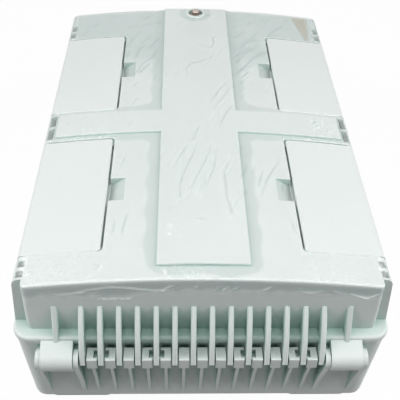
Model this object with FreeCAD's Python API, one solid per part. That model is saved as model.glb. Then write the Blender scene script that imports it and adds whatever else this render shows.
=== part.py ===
import FreeCAD, Part
import math
import os
from FreeCAD import Vector as V

# Fibre termination box lying on its back, in millimetres.
# z = 0 is the wall plane, +Z points out through the lid, -Y is the hinge end, +Y the lock and cable end.

# Lid body
lid_length = 394.0
rail_width = 266.5
body_width = 253.0
eave_height = 130.0
crown = 9.2
lid_wall_height = 43.0
lid_draft = 0.8
lid_corner_round = 4.5
lid_edge_round = 1.0
lid_wall = 3.0
lid_top_wall = 3.4
lid_pad_wall = 9.8

# Rim flange of the lid and the parting line
flange_thick = 5.0
flange_side = 4.2
flange_near = 9.5
flange_far = 6.5
flange_corner_round = 14.0
flange_edge_round = 2.4
parting_gap = 0.4

# Raised spine and cross band on the lid
spine_width = 66.0
spine_near_margin = 13.0
spine_far_margin = 0.8
band_width = 32.0
raise_height = 1.8
raise_edge = 0.7

# Side rails of the lid
rail_near_setback = 7.5
rail_far_setback = 0.8
rail_spread = 3.2
rail_round = 6.0
rail_end_wall = 2.2
rail_far_block = 26.0
pocket_width = 5.0
pocket_wall = 2.2
pocket_depth = 9.0
pocket_web = 3.6
pocket_count = 2
pocket_least = 4.0

# Flaps on the lid and their pins
flap_near_margin = 30.0
flap_length = 132.0
flap_spacing = 44.0
flap_width = 59.7
flap_thick = 2.6
flap_edge = 0.6
flap_corner_round = 3.0
flap_knuckle_radius = 4.5
flap_end_gap = 0.6
flap_inner_gap = 1.8
flap_seat_gap = 0.25
flap_well_depth = 7.0
flap_ledge = 6.0
flap_well_wall = 2.0
flap_run_gap = 0.4
flap_pin_radius = 1.5
flap_pin_web = 5.0
pin_run_gap = 0.08
pin_seat_gap = 0.03

# Finger notches beside the flaps
notch_length = 26.0
notch_width = 12.0
notch_depth = 7.0
notch_shallow = 0.3
notch_under = 3.0

# Hinge
axis_out = 15.9
axis_drop = 58.5
fin_count = 14
fin_pitch = 13.25
fin_thick = 3.8
fin_end_radius = 4.6
fin_front = 6.5
fin_front_rise = 1.0
fin_bow = 2.8
fin_top_drop = 18.5
fin_top_ledge = 0.6
fin_edge = 0.9
fin_back_angle = 10.0
end_fin_offset = 105.0
end_fin_thick = 4.2
end_fin_setback = 3.2
lug_width = 7.4
lug_front = 4.8
lug_rear = 6.4
lug_rise = 4.7
lug_drop = 5.0
lug_edge = 0.7
lug_neck = 1.0
lug_slope = 2.0
rib_thick = 2.4
rib_toe = 0.4
rib_bow = 1.5
rib_foot_rise = 12.0
trunnion_fins = (2, 5)
trunnion_radius = 2.0
trunnion_length = 3.2
trunnion_gap = 0.4
trunnion_entry = 4.2
knuckle_offset = 104.5
knuckle_width = 23.0
knuckle_radius = 8.7
tab_angle = 25.0
cheek_radius = 7.6
cheek_thick = 3.6
outer_cheek_thick = 3.2
hinge_side_gap = 0.4
hinge_pin_radius = 3.0
hinge_pin_recess = 1.2

# Base housing
base_top_width = 272.0
base_bottom_width = 262.0
base_near_out = 7.0
base_far_out = 5.0
base_end_draft = 3.5
base_corner_round = 10.0
base_bottom_round = 8.0
base_floor = 3.5
foot_height = 1.5
foot_length = 48.0
foot_width = 54.0
foot_side_inset = 9.5
foot_end_inset = 3.5
foot_round = 8.0
base_wall = 3.5

# Rim gasket and its groove
groove_width = 3.8
groove_depth = 3.0
gasket_gap = 0.15

# Wall screw holes
wall_hole_span_x = 196.0
wall_hole_span_y = 324.0
wall_hole_radius = 3.1
wall_boss_radius = 8.0
wall_boss_height = 5.0

# Lock at the far end
lock_inset = 13.0
lock_ring_radius = 11.0
lock_ring_height = 1.4
lock_ring_edge = 1.0
lock_recess_radius = 7.6
lock_recess_depth = 5.5
lock_column_radius = 8.0
lock_shank_radius = 3.0
lock_shank_gap = 0.3
lock_collar_radius = 6.4
lock_collar = 1.5
lock_key_sides = 5
lock_key_radius = 4.3
lock_key_height = 5.0
lock_key_edge = 0.5
lock_seal = 1.2
lock_seal_inset = 0.4
lock_clip_radius = 5.6
lock_clip = 1.0
lock_clip_gap = 0.3
lock_clip_groove = 0.6
lock_clip_mouth = 3.2
lock_pillar_drop = 6.0
lock_pillar_height = 18.0
lock_insert_radius = 5.2
lock_insert_length = 12.0
lock_engage = 9.0
lock_insert_gap = 0.8

# Cable entries in the far wall
entry_height = 36.0
feeder_inset = 31.5
feeder_hole_radius = 9.5
feeder_pad_radius = 13.5
feeder_flange_radius = 12.5
feeder_flange = 3.0
feeder_nose = 16.0
feeder_inner = 4.0
feeder_lip = 1.5
feeder_lip_thick = 1.0
drop_pitch = 13.0
entry_gap = 2.0
drop_window_height = 14.0
drop_flange_edge = 3.0
drop_nose = 7.0
drop_nose_radius = 3.6
drop_corner_round = 4.6
drop_inner = 3.0
entry_pad = 3.0
rubber_gap = 0.2

# Adapter panel
panel_y = 62.0
panel_thick = 1.5
panel_height = 40.0
panel_foot = 22.0
panel_lift = 9.0
panel_margin = 5.0
adapter_count = 12
adapter_pitch = 15.0
adapter_width = 9.3
adapter_height = 12.7
adapter_length = 29.0
adapter_flange = 1.6
adapter_lip = 1.6
adapter_port_depth = 8.0
adapter_port_width = 7.2
adapter_port_height = 9.2
adapter_gap = 0.15
cap_head = 4.0
cap_plug = 6.0
cap_inset = 0.4
panel_boss_radius = 5.5

# Splice trays
tray_y = -98.0
tray_width = 168.0
tray_length = 142.0
tray_wall = 1.8
tray_depth = 10.0
tray_corner_round = 24.0
tray_lift = 16.0
tray_post_span = 112.0
tray_post_radius = 6.5
tray_gap = 0.3
drum_radius = 26.0
drum_wall = 1.6
drum_drop = 2.0
drum_gap = 18.0
tray_mouth = 14.0
comb_slots = 6
comb_pitch = 5.0
comb_rib = 1.6
comb_length = 26.0
comb_height = 6.0
comb_offset = 58.0
cover_thick = 1.6

# Cable clamps, strength posts, earth stud and clips
clamp_y = 158.0
clamp_width = 38.0
clamp_depth = 12.0
clamp_bar = 5.0
clamp_post = 9.0
clamp_rise = 12.0
clamp_screw_depth = 12.0
post_y = 126.0
post_height = 22.0
post_radius = 5.0
post_screw_depth = 14.0
earth_x = 62.0
earth_y = 140.0
earth_radius = 3.0
earth_length = 20.0
earth_boss_radius = 6.6
earth_boss_height = 5.0
earth_nut_radius = 5.7
earth_nut_height = 5.1
clip_width = 12.0
clip_height = 11.0
clip_depth = 7.0
clip_wall = 1.6
clip_mouth = 3.2
clip_inset = 29.5
clip_places = (-120.0, -55.0, 10.0)

# Screws
screw_radius = 2.0
screw_head_radius = 3.8
screw_head = 2.6
screw_gap = 0.2
screw_floor = 1.5
screw_tip_gap = 1.0
seat_gap = 0.05

# Places that follow from the sizes
y_near = -lid_length / 2
y_far = lid_length / 2
rail_half = rail_width / 2
body_half = body_width / 2
flange_top = eave_height - lid_wall_height
parting = flange_top - flange_thick
rim_top = parting - parting_gap
crown_radius = (rail_half ** 2 + crown ** 2) / (2 * crown)
crown_centre = eave_height + crown - crown_radius
lid_slope = lid_draft / (eave_height - parting)
axis_y = y_near - axis_out
axis_z = eave_height - axis_drop
# overlap: how far a cut or a joined block runs past the face it meets
# spare: how far a working block stands clear of the part
overlap = 1.0
spare = 10.0
reach = lid_length
floor_z = foot_height + base_floor


def crown_z(x, offset=0.0):
    return crown_centre + math.sqrt((crown_radius + offset) ** 2 - x ** 2)


def slab(x0, x1, y0, y1, z0, z1):
    return Part.makeBox(x1 - x0, y1 - y0, z1 - z0, V(x0, y0, z0))


def rod_x(radius, x0, x1, y, z):
    return Part.makeCylinder(radius, x1 - x0, V(x0, y, z), V(1, 0, 0))


def rod_y(radius, y0, y1, x, z):
    return Part.makeCylinder(radius, y1 - y0, V(x, y0, z), V(0, 1, 0))


def rod_z(radius, z0, z1, x, y):
    return Part.makeCylinder(radius, z1 - z0, V(x, y, z0), V(0, 0, 1))


def ring_wire(half, y0, y1, radius, z):
    # Rounded rectangle, centred in X.
    k = radius * (1 - math.sqrt(0.5))
    corners = ((half, y0, -1, 1), (half, y1, -1, -1), (-half, y1, 1, -1), (-half, y0, 1, 1))
    edges = []
    ends = []
    for i, (x, y, sx, sy) in enumerate(corners):
        a = V(x + sx * radius, y, z)
        b = V(x, y + sy * radius, z)
        if i % 2:
            a, b = b, a
        ends.append((a, V(x + sx * k, y + sy * k, z), b))
    for i in range(4):
        a, m, b = ends[i]
        edges.append(Part.Arc(a, m, b).toShape())
        edges.append(Part.LineSegment(b, ends[(i + 1) % 4][0]).toShape())
    return Part.Wire(edges)


def drafted(low, high, radius):
    # Tapered block between two rectangles given as (half, y0, y1, z), with its upright edges rounded.
    half_low, near_low, far_low, z_low = low
    half_high, near_high, far_high, z_high = high
    block = Part.makeWedge(
        -half_low, z_low, -far_low, -far_high, -half_high, half_low, z_high, -near_low, -near_high, half_high
    )
    block.rotate(V(0, 0, 0), V(1, 0, 0), 90)
    return block.makeFillet(radius, [e for e in block.Edges if e.BoundBox.ZLength > 0.01])


def plate(half, y0, y1, radius, z0, z1):
    return Part.Face(ring_wire(half, y0, y1, radius, z0)).extrude(V(0, 0, z1 - z0))


def profile_x(points, x0, x1):
    # Closed outline in the YZ plane, extruded along X.
    corners = [V(x0, y, z) for y, z in points]
    return Part.Face(Part.makePolygon(corners + corners[:1])).extrude(V(x1 - x0, 0, 0))


def profile_y(points, y0, y1):
    # Closed outline in the XZ plane, extruded along Y.
    corners = [V(x, y0, z) for x, z in points]
    return Part.Face(Part.makePolygon(corners + corners[:1])).extrude(V(0, y1 - y0, 0))


def under_crown(offset):
    # Everything below the lid's crown, moved out by the offset.
    half = rail_half + 2 * spare
    low = floor_z
    a = V(-half, -reach, crown_z(half, offset))
    m = V(0, -reach, crown_z(0, offset))
    b = V(half, -reach, crown_z(half, offset))
    c = V(half, -reach, low)
    d = V(-half, -reach, low)
    outline = [
        Part.Arc(a, m, b).toShape(),
        Part.LineSegment(b, c).toShape(),
        Part.LineSegment(c, d).toShape(),
        Part.LineSegment(d, a).toShape(),
    ]
    return Part.Face(Part.Wire(outline)).extrude(V(0, 2 * reach, 0))


def mirrored(shape):
    return shape.mirror(V(0, 0, 0), V(1, 0, 0))


def both(shape):
    return [shape, mirrored(shape)]


def crown_faces(shape, radius):
    found = []
    for face in shape.Faces:
        if isinstance(face.Surface, Part.Cylinder) and abs(face.Surface.Radius - radius) < 0.01:
            found.append(face)
    return found


def round_top(shape, radius, size):
    # Rounds every edge of the top face that lies on the crown.
    edges = []
    for face in crown_faces(shape, radius):
        edges.extend(face.OuterWire.Edges)
    return shape.makeFillet(size, edges)


def merged(first, others):
    return first.fuse(others).removeSplitter()


nodes = {}

# Lid body: tapered walls under a crowned top
top_z = eave_height + crown + spare
body_low = body_half + lid_draft
body_high = body_half - lid_slope * (top_z - eave_height)
end_low = lid_length / 2 + lid_draft
end_high = lid_length / 2 - lid_slope * (top_z - eave_height)
lid_block = drafted(
    (body_low, -end_low, end_low, parting),
    (body_high, -end_high, end_high, top_z),
    lid_corner_round,
)
lid_body = round_top(lid_block.common(under_crown(0)), crown_radius, lid_edge_round)

flange = plate(
    rail_half + flange_side, y_near - flange_near, y_far + flange_far,
    flange_corner_round, parting, flange_top
)
flange_edges = [e for e in flange.Edges if abs(e.BoundBox.ZMin - flange_top) < 0.01]
flange = flange.makeFillet(flange_edge_round, flange_edges)

# Side rails that spread towards the flange, with a rounded outer top edge
rail_y0 = y_near + rail_near_setback
rail_y1 = y_far - rail_far_setback
rail_slope = rail_spread / lid_wall_height
rail_low = parting + overlap
rail_block = profile_y(
    [
        (body_half - lid_wall, rail_low),
        (rail_half + rail_slope * (eave_height - rail_low), rail_low),
        (rail_half - rail_slope * (top_z - eave_height), top_z),
        (body_half - lid_wall, top_z),
    ],
    rail_y0,
    rail_y1,
)
rail_block = rail_block.common(under_crown(0))
rail_edges = []
for edge in rail_block.Edges:
    box = edge.BoundBox
    if box.XMin > rail_half - overlap and box.ZMin > eave_height - overlap:
        rail_edges.append(edge)
rail = rail_block.makeFillet(rail_round, [e for e in rail_edges if e.BoundBox.YLength > spare])
flap_ranges = {
    "near": (y_near + flap_near_margin, y_near + flap_near_margin + flap_length),
    "far": (
        y_near + flap_near_margin + flap_length + flap_spacing,
        y_near + flap_near_margin + 2 * flap_length + flap_spacing,
    ),
}
pocket_zones = (
    (rail_y0 + rail_end_wall, flap_ranges["near"][0] - flap_pin_web),
    (flap_ranges["near"][1] + flap_pin_web, flap_ranges["far"][0] - flap_pin_web),
    (flap_ranges["far"][1] + flap_pin_web, rail_y1 - rail_far_block),
)
pockets = []
pocket_x1 = rail_half - pocket_wall
for zone_start, zone_end in pocket_zones:
    room = zone_end - zone_start + pocket_web
    count = min(pocket_count, int(room // (pocket_least + pocket_web)))
    for i in range(count):
        a = zone_start + i * room / count
        b = a + room / count - pocket_web
        pockets.append(slab(pocket_x1 - pocket_width, pocket_x1, a, b, eave_height - pocket_depth, top_z))

# Raised spine and cross band
band_y = (flap_ranges["near"][1] + flap_ranges["far"][0]) / 2
raise_low = eave_height - lid_top_wall
spine = slab(
    -spine_width / 2, spine_width / 2, y_near + spine_near_margin, y_far - spine_far_margin, raise_low, top_z
)
band_half = pocket_x1 - pocket_width - pocket_wall
band = slab(-band_half, band_half, band_y - band_width / 2, band_y + band_width / 2, raise_low, top_z)
cross = merged(spine, [band]).common(under_crown(raise_height))
cross = round_top(cross, crown_radius + raise_height, raise_edge)

# Hinge fins: a bowed front edge down to a square toe, and a round end about the hinge axis
fin_top_z = eave_height - fin_top_drop
fin_top_y = y_near - lid_slope * fin_top_drop - fin_top_ledge
inner_y = y_near + lid_wall / 2
toe_y = axis_y - fin_front
toe_z = axis_z + fin_front_rise
toe_reach = math.hypot(fin_front, fin_front_rise)
toe_angle = math.pi - math.atan2(fin_front_rise, fin_front)
front_angle = toe_angle + math.acos(fin_end_radius / toe_reach)
back_angle = math.radians(fin_back_angle)
low_angle = (front_angle + back_angle + 2 * math.pi) / 2
edge_lean = math.atan2(fin_top_y - toe_y, fin_top_z - toe_z)
bow_y = (fin_top_y + toe_y) / 2 - fin_bow * math.cos(edge_lean)
bow_z = (fin_top_z + toe_z) / 2 + fin_bow * math.sin(edge_lean)


def fin_end(angle, x):
    return V(x, axis_y + fin_end_radius * math.cos(angle), axis_z + fin_end_radius * math.sin(angle))


def fin(x):
    x0 = x - fin_thick / 2
    top = V(x0, fin_top_y, fin_top_z)
    toe = V(x0, toe_y, toe_z)
    front = fin_end(front_angle, x0)
    back = fin_end(back_angle, x0)
    corners = [
        back,
        V(x0, y_near - flange_near + overlap, parting + parting_gap),
        V(x0, inner_y, parting + parting_gap),
        V(x0, inner_y, fin_top_z),
        top,
    ]
    edges = [Part.LineSegment(a, b).toShape() for a, b in zip(corners, corners[1:])]
    edges.append(Part.Arc(top, V(x0, bow_y, bow_z), toe).toShape())
    edges.append(Part.LineSegment(toe, front).toShape())
    edges.append(Part.Arc(front, fin_end(low_angle, x0), back).toShape())
    web = Part.Face(Part.Wire(edges)).extrude(V(fin_thick, 0, 0))
    broken = []
    for edge in web.Edges:
        box = edge.BoundBox
        if box.XLength < 0.01 and box.YMin < axis_y and box.ZMax > fin_top_z - 0.01:
            broken.append(edge)
    return web.makeChamfer(fin_edge, broken)


def end_fin(x):
    # Shallower fin that runs down on to a hinge knuckle.
    foot_y = axis_y + end_fin_setback
    outline = [
        (inner_y, fin_top_z),
        (fin_top_y, fin_top_z),
        (foot_y, axis_z + knuckle_radius - overlap),
        (foot_y, axis_z + fin_end_radius),
        (y_near - flange_near + overlap, parting + parting_gap),
        (inner_y, parting + parting_gap),
    ]
    web = profile_x(outline, x - end_fin_thick / 2, x + end_fin_thick / 2)
    broken = []
    for edge in web.Edges:
        box = edge.BoundBox
        if box.XLength < 0.01 and box.YMin < fin_top_y - 0.01 and box.ZMax > fin_top_z - 0.01:
            broken.append(edge)
    return web.makeChamfer(fin_edge, broken)


fin_places = [(i - (fin_count - 1) / 2) * fin_pitch for i in range(fin_count)]
fins = [fin(x) for x in fin_places] + [end_fin(end_fin_offset), end_fin(-end_fin_offset)]
# Trunnions stand on fins counted from each end of the row.
trunnions = []
trunnion_places = []
for place in trunnion_fins:
    x = (fin_count - 1) / 2 * fin_pitch - (round(place) - 1) * fin_pitch
    trunnion_places.extend([-x, x])
for x in trunnion_places:
    half = fin_thick / 2 + trunnion_length
    trunnions.append(rod_x(trunnion_radius, x - half, x + half, axis_y, axis_z))

# Hinge knuckles with the tabs that hang them from the flange
knuckle_x0 = knuckle_offset - knuckle_width / 2
knuckle_x1 = knuckle_offset + knuckle_width / 2
tab_lean = math.radians(tab_angle)
tab_outline = [
    (inner_y, flange_top - flange_edge_round),
    (y_near - flange_near, flange_top - flange_edge_round),
    (axis_y - knuckle_radius * math.sin(tab_lean), axis_z + knuckle_radius * math.cos(tab_lean)),
    (axis_y, axis_z),
    (axis_y + knuckle_radius, axis_z),
    (y_near - flange_near + overlap, parting),
    (inner_y, parting),
]
knuckle = rod_x(knuckle_radius, knuckle_x0, knuckle_x1, axis_y, axis_z)
knuckle = knuckle.fuse(profile_x(tab_outline, knuckle_x0, knuckle_x1))
knuckle_bore = rod_x(
    hinge_pin_radius + pin_run_gap, knuckle_x0 - overlap, knuckle_x1 + overlap, axis_y, axis_z
)

# Lock seat: raised ring, recess and the column that carries the screw down to the parting line
lock_y = y_far - lock_inset
lock_top = crown_z(0, raise_height) + lock_ring_height
lock_seat = lock_top - lock_recess_depth
lock_ring = rod_z(lock_ring_radius, eave_height, lock_top, 0, lock_y)
lock_edges = [e for e in lock_ring.Edges if abs(e.BoundBox.ZMin - lock_top) < 0.01]
lock_ring = lock_ring.makeChamfer(lock_ring_edge, lock_edges)
column_low = parting + overlap
lock_column = rod_z(lock_column_radius, column_low, lock_seat, 0, lock_y)
lock_web = slab(-lid_wall, lid_wall, lock_y, y_far - lid_wall / 2, column_low, eave_height)
lock_cuts = [
    rod_z(lock_recess_radius, lock_seat, top_z, 0, lock_y),
    rod_z(lock_shank_radius + lock_shank_gap, floor_z, top_z, 0, lock_y),
]

# Hollow of the lid, with a thicker skin under the flaps and finger notches
inner_low = end_low - lid_wall
inner_high = end_high - lid_wall
inner_block = drafted(
    (body_low - lid_wall, -inner_low, inner_low, parting - overlap),
    (body_high - lid_wall, -inner_high, inner_high, top_z),
    lid_corner_round - lid_wall,
)
flap_inner = rail_half - flap_width
thin_half = flap_inner - notch_width - flap_inner_gap - lid_wall
margin = flap_inner_gap + lid_wall
thin_zones = [slab(-thin_half, thin_half, -reach, reach, floor_z, top_z)]
for y0, y1 in (
    (-reach, flap_ranges["near"][0] - margin),
    (flap_ranges["near"][1] + margin, flap_ranges["far"][0] - margin),
    (flap_ranges["far"][1] + margin, reach),
):
    thin_zones.append(slab(-rail_half, rail_half, y0, y1, floor_z, top_z))
hollow = inner_block.common(under_crown(-lid_pad_wall))
thin = thin_zones[0].fuse(thin_zones[1:])
hollow = hollow.fuse(inner_block.common(under_crown(-lid_top_wall)).common(thin)).removeSplitter()

# Flap seats with a well below, the troughs for their knuckles, pin holes and finger notches
flap_axis_x = rail_half - flap_knuckle_radius
flap_axis_z = crown_z(flap_axis_x) - flap_knuckle_radius
above_seat = under_crown(-flap_thick - flap_seat_gap)
under_well = under_crown(-flap_well_depth)
seat_cuts = []
for y0, y1 in flap_ranges.values():
    start = y0 - flap_end_gap
    end = y1 + flap_end_gap
    seat = slab(flap_inner - flap_inner_gap, rail_half + spare, start, end, flange_top, top_z)
    inner_edges = []
    for edge in seat.Edges:
        if edge.BoundBox.ZLength > spare and edge.BoundBox.XMax < flap_inner:
            inner_edges.append(edge)
    seat = seat.makeFillet(flap_corner_round + flap_end_gap, inner_edges).cut(above_seat)
    well_x1 = flap_axis_x - flap_knuckle_radius - flap_run_gap - flap_well_wall
    well = slab(flap_inner - flap_inner_gap, well_x1, y0 + flap_ledge, y1 - flap_ledge, flange_top, top_z)
    well = well.cut(under_well)
    trough = rod_y(flap_knuckle_radius + flap_run_gap, start, end, flap_axis_x, flap_axis_z)
    start = y0 - flap_pin_web - overlap
    end = y1 + flap_pin_web + overlap
    pin_hole = rod_y(flap_pin_radius + pin_seat_gap, start, end, flap_axis_x, flap_axis_z)
    x0 = flap_inner - flap_inner_gap - notch_width
    notch_outline = [
        (x0, top_z),
        (x0, crown_z(x0) - notch_shallow),
        (flap_inner - flap_inner_gap, crown_z(flap_inner) - notch_depth),
        (flap_inner + notch_under, crown_z(flap_inner + notch_under) - notch_depth),
        (flap_inner + notch_under, top_z),
    ]
    centre = (y0 + y1) / 2
    notch = profile_y(notch_outline, centre - notch_length / 2, centre + notch_length / 2)
    seat_cuts.extend([seat, well, trough, pin_hole, notch])

# Gasket groove under the flange, above the housing's wall, and the gasket in it
base_top_half = base_top_width / 2
base_bottom_half = base_bottom_width / 2
feeder_offset = base_bottom_half - feeder_inset
clip_x = base_bottom_half - clip_inset
near_top = y_near - base_near_out
far_top = y_far + base_far_out


def rim_ring(width, z0, z1):
    # Ring of the given width that follows the middle of the housing's wall.
    plates = []
    for inset in ((base_wall - width) / 2, (base_wall + width) / 2):
        half = base_top_half - inset
        plates.append(plate(half, near_top + inset, far_top - inset, base_corner_round - inset, z0, z1))
    return plates[0].cut(plates[1])


groove = rim_ring(groove_width, parting - overlap, parting + groove_depth)
nodes["rim_gasket"] = rim_ring(
    groove_width - 2 * gasket_gap, parting - parting_gap + gasket_gap, parting + groove_depth - seat_gap
)

lid = lid_body.fuse([flange, cross, lock_ring] + both(rail))
lid = lid.cut(hollow)
lid = lid.fuse(fins + trunnions + both(knuckle) + [lock_column, lock_web])
cuts = []
for shape in seat_cuts + pockets + [knuckle_bore]:
    cuts.extend(both(shape))
lid = lid.cut(cuts + lock_cuts + [groove]).removeSplitter()
nodes["lid_shell"] = lid

# Flaps: curved plates with a knuckle along the outer edge, and the pins they turn on
for end, (y0, y1) in flap_ranges.items():
    leaf = slab(flap_inner, flap_axis_x, y0, y1, parting, top_z)
    upright = [e for e in leaf.Edges if e.BoundBox.ZLength > spare]
    inner_edges = [e for e in upright if e.BoundBox.XMax < flap_inner + overlap]
    leaf = leaf.makeFillet(flap_corner_round, inner_edges)
    leaf = leaf.common(under_crown(0)).cut(under_crown(-flap_thick))
    leaf_edges = []
    for face in crown_faces(leaf, crown_radius):
        for edge in face.OuterWire.Edges:
            if edge.BoundBox.XMin < flap_axis_x - overlap:
                leaf_edges.append(edge)
    leaf = leaf.makeChamfer(flap_edge, leaf_edges)
    flap = leaf.fuse(rod_y(flap_knuckle_radius, y0, y1, flap_axis_x, flap_axis_z))
    bore = rod_y(flap_pin_radius + pin_run_gap, y0 - overlap, y1 + overlap, flap_axis_x, flap_axis_z)
    flap = flap.cut(bore).removeSplitter()
    pin = rod_y(flap_pin_radius, y0 - flap_pin_web, y1 + flap_pin_web, flap_axis_x, flap_axis_z)
    nodes["flap_" + end + "_right"] = flap
    nodes["flap_" + end + "_left"] = mirrored(flap)
    nodes["flap_pin_" + end + "_right"] = pin
    nodes["flap_pin_" + end + "_left"] = mirrored(pin)

# Base housing: tapered box with corner feet and hinge lugs
base = drafted(
    (base_bottom_half, near_top + base_end_draft, far_top - base_end_draft, foot_height),
    (base_top_half, near_top, far_top, rim_top),
    base_corner_round,
)
bottom_edges = [e for e in base.Edges if e.BoundBox.ZMax < foot_height + 0.01]
base = base.makeFillet(base_bottom_round, bottom_edges)
cavity_near = near_top + base_wall
cavity_far = far_top - base_wall
cavity_low_near = cavity_near + base_end_draft
cavity_low_far = cavity_far - base_end_draft
cavity = drafted(
    (base_bottom_half - base_wall, cavity_low_near, cavity_low_far, floor_z),
    (base_top_half - base_wall, cavity_near, cavity_far, rim_top + overlap),
    base_corner_round - base_wall,
)
cavity_edges = [e for e in cavity.Edges if e.BoundBox.ZMax < floor_z + 0.01]
cavity = cavity.makeFillet(base_bottom_round - base_wall, cavity_edges)

feet = []
foot_x1 = base_bottom_half - foot_side_inset
foot_near = near_top + base_end_draft + foot_end_inset
foot_far = far_top - base_end_draft - foot_end_inset - foot_length
for y0 in (foot_near, foot_far):
    foot = slab(foot_x1 - foot_width, foot_x1, y0, y0 + foot_length, 0, floor_z)
    foot = foot.makeFillet(foot_round, [e for e in foot.Edges if e.BoundBox.ZLength > floor_z - 0.01])
    feet.extend(both(foot))


def hinge_rib(x0, x1, start_y, start_z, back_y):
    # Curved rib that carries a lug or cheek down to the housing's bottom edge.
    start = V(x0, start_y, start_z)
    end = V(x0, rib_foot_y, rib_foot_z)
    bow = V(x0, (start.y + end.y * 2) / 3 - rib_bow, (start.z + end.z) / 2)
    back_low = V(x0, back_y, rib_foot_z)
    back_high = V(x0, back_y, start_z + lug_drop)
    front_high = V(x0, start_y, start_z + lug_drop / 2)
    outline = [
        Part.Arc(start, bow, end).toShape(),
        Part.LineSegment(end, back_low).toShape(),
        Part.LineSegment(back_low, back_high).toShape(),
        Part.LineSegment(back_high, front_high).toShape(),
        Part.LineSegment(front_high, start).toShape(),
    ]
    return Part.Face(Part.Wire(outline)).extrude(V(x1 - x0, 0, 0))


def lug(x0, x1):
    # Square block round the hinge axis, held to the housing's wall by a lower neck.
    low = axis_z - lug_drop
    block = slab(x0, x1, axis_y - lug_front, axis_y + lug_rear, low, axis_z + lug_rise)
    top_front = []
    for edge in block.Edges:
        box = edge.BoundBox
        if box.YMax < axis_y - lug_front + 0.01 and box.ZMin > axis_z:
            top_front.append(edge)
    block = block.makeFillet(lug_edge, top_front)
    neck_top = axis_z - lug_neck
    neck = [(axis_y, low), (lug_back, low - lug_slope), (lug_back, neck_top), (axis_y, neck_top)]
    return block.fuse(profile_x(neck, x0, x1))


def cheek(x0, x1, back_y):
    # Round ear beside a knuckle, with an arm back to the housing's wall.
    arm_top = axis_z + cheek_radius / 2
    arm_low = axis_z - cheek_radius
    arm = [(axis_y, arm_low), (back_y, arm_low - lug_slope), (back_y, arm_top), (axis_y, arm_top)]
    return rod_x(cheek_radius, x0, x1, axis_y, axis_z).fuse(profile_x(arm, x0, x1))


lug_back = near_top + base_end_draft + base_wall / 2
rib_foot_z = foot_height + rib_foot_rise
rib_foot_y = near_top + base_end_draft * (rim_top - rib_foot_z) / (rim_top - foot_height) - rib_toe
rib_start_y = axis_y - lug_front / 2
rib_start_z = axis_z - lug_drop
hinge_solids = []
for i in range(fin_count - 1):
    x = (fin_places[i] + fin_places[i + 1]) / 2
    hinge_solids.append(lug(x - lug_width / 2, x + lug_width / 2))
    hinge_solids.append(hinge_rib(x - rib_thick / 2, x + rib_thick / 2, rib_start_y, rib_start_z, lug_back))
inner_cheek = (knuckle_x0 - hinge_side_gap - cheek_thick, knuckle_x0 - hinge_side_gap)
outer_cheek = (knuckle_x1 + hinge_side_gap, knuckle_x1 + hinge_side_gap + outer_cheek_thick)
cheek_back = near_top + base_corner_round
cheek_start_y = axis_y - cheek_radius * math.cos(math.radians(45))
cheek_start_z = axis_z - cheek_radius * math.sin(math.radians(45))
for (x0, x1), back_y in ((inner_cheek, lug_back), (outer_cheek, cheek_back)):
    hinge_solids.extend(both(cheek(x0, x1, back_y)))
    hinge_solids.extend(both(hinge_rib(x0, x1, cheek_start_y, cheek_start_z, back_y)))
trunnion_slots = []
for x in trunnion_places:
    half = fin_thick / 2 + trunnion_length + trunnion_gap
    radius = trunnion_radius + trunnion_gap
    slot = rod_x(radius, x - half, x + half, axis_y, axis_z)
    slot_top = axis_z + lug_rise + overlap
    entry = slab(x - half, x + half, axis_y - radius, axis_y + trunnion_entry, axis_z, slot_top)
    trunnion_slots.append(slot.fuse(entry))
cheek_bore = rod_x(
    hinge_pin_radius + pin_seat_gap, inner_cheek[0] + overlap, outer_cheek[1] + overlap, axis_y, axis_z
)

# Wall screw holes
wall_holes = []
wall_bosses = []
for x in (-wall_hole_span_x / 2, wall_hole_span_x / 2):
    for y in (-wall_hole_span_y / 2, wall_hole_span_y / 2):
        wall_holes.append(rod_z(wall_hole_radius, -overlap, floor_z + wall_boss_height + overlap, x, y))
        wall_bosses.append(rod_z(wall_boss_radius, floor_z - overlap, floor_z + wall_boss_height, x, y))

# Cable entries: flat pads on the far wall, two round feeder holes and one long window for drop cables
wall_out = far_top + entry_pad - base_end_draft * (rim_top - entry_height) / (rim_top - foot_height)
drop_room = 2 * (feeder_offset - feeder_flange_radius - entry_gap - drop_flange_edge) - drop_window_height
drop_count = int(drop_room // drop_pitch) + 1
drop_half = (drop_count - 1) * drop_pitch / 2 + drop_window_height / 2
feeder_pad = rod_y(feeder_pad_radius, cavity_low_far, wall_out, feeder_offset, entry_height)
feeder_hole = rod_y(
    feeder_hole_radius, cavity_far - spare, wall_out + overlap, feeder_offset, entry_height
)
pad_z = drop_window_height / 2 + drop_flange_edge + overlap
pad_x = drop_half + drop_flange_edge + overlap
drop_pad = slab(-pad_x, pad_x, cavity_low_far, wall_out, entry_height - pad_z, entry_height + pad_z)
drop_window = slab(
    -drop_half, drop_half, cavity_far - spare, wall_out + overlap,
    entry_height - drop_window_height / 2, entry_height + drop_window_height / 2
)
drop_corners = [e for e in drop_window.Edges if e.BoundBox.YLength > overlap]
drop_corners = [e for e in drop_corners if e.BoundBox.XLength < overlap]
drop_window = drop_window.makeFillet(drop_corner_round, drop_corners)

# Lock pillar in the base
pillar_top = rim_top - lock_pillar_drop
pillar_low = pillar_top - lock_pillar_height
pillar = rod_z(lock_column_radius, pillar_low, pillar_top, 0, lock_y)
pillar_web = profile_x(
    [(lock_y, pillar_low), (far_top - base_wall / 2, pillar_low - lock_column_radius),
     (far_top - base_wall / 2, pillar_top), (lock_y, pillar_top)],
    -lock_column_radius * 0.8, lock_column_radius * 0.8
)
insert_hole = rod_z(lock_insert_radius, pillar_top - lock_insert_length, pillar_top + overlap, 0, lock_y)
insert_relief = rod_z(
    lock_shank_radius + lock_insert_gap, pillar_low - 2 * spare, pillar_top + overlap, 0, lock_y
)

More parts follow.
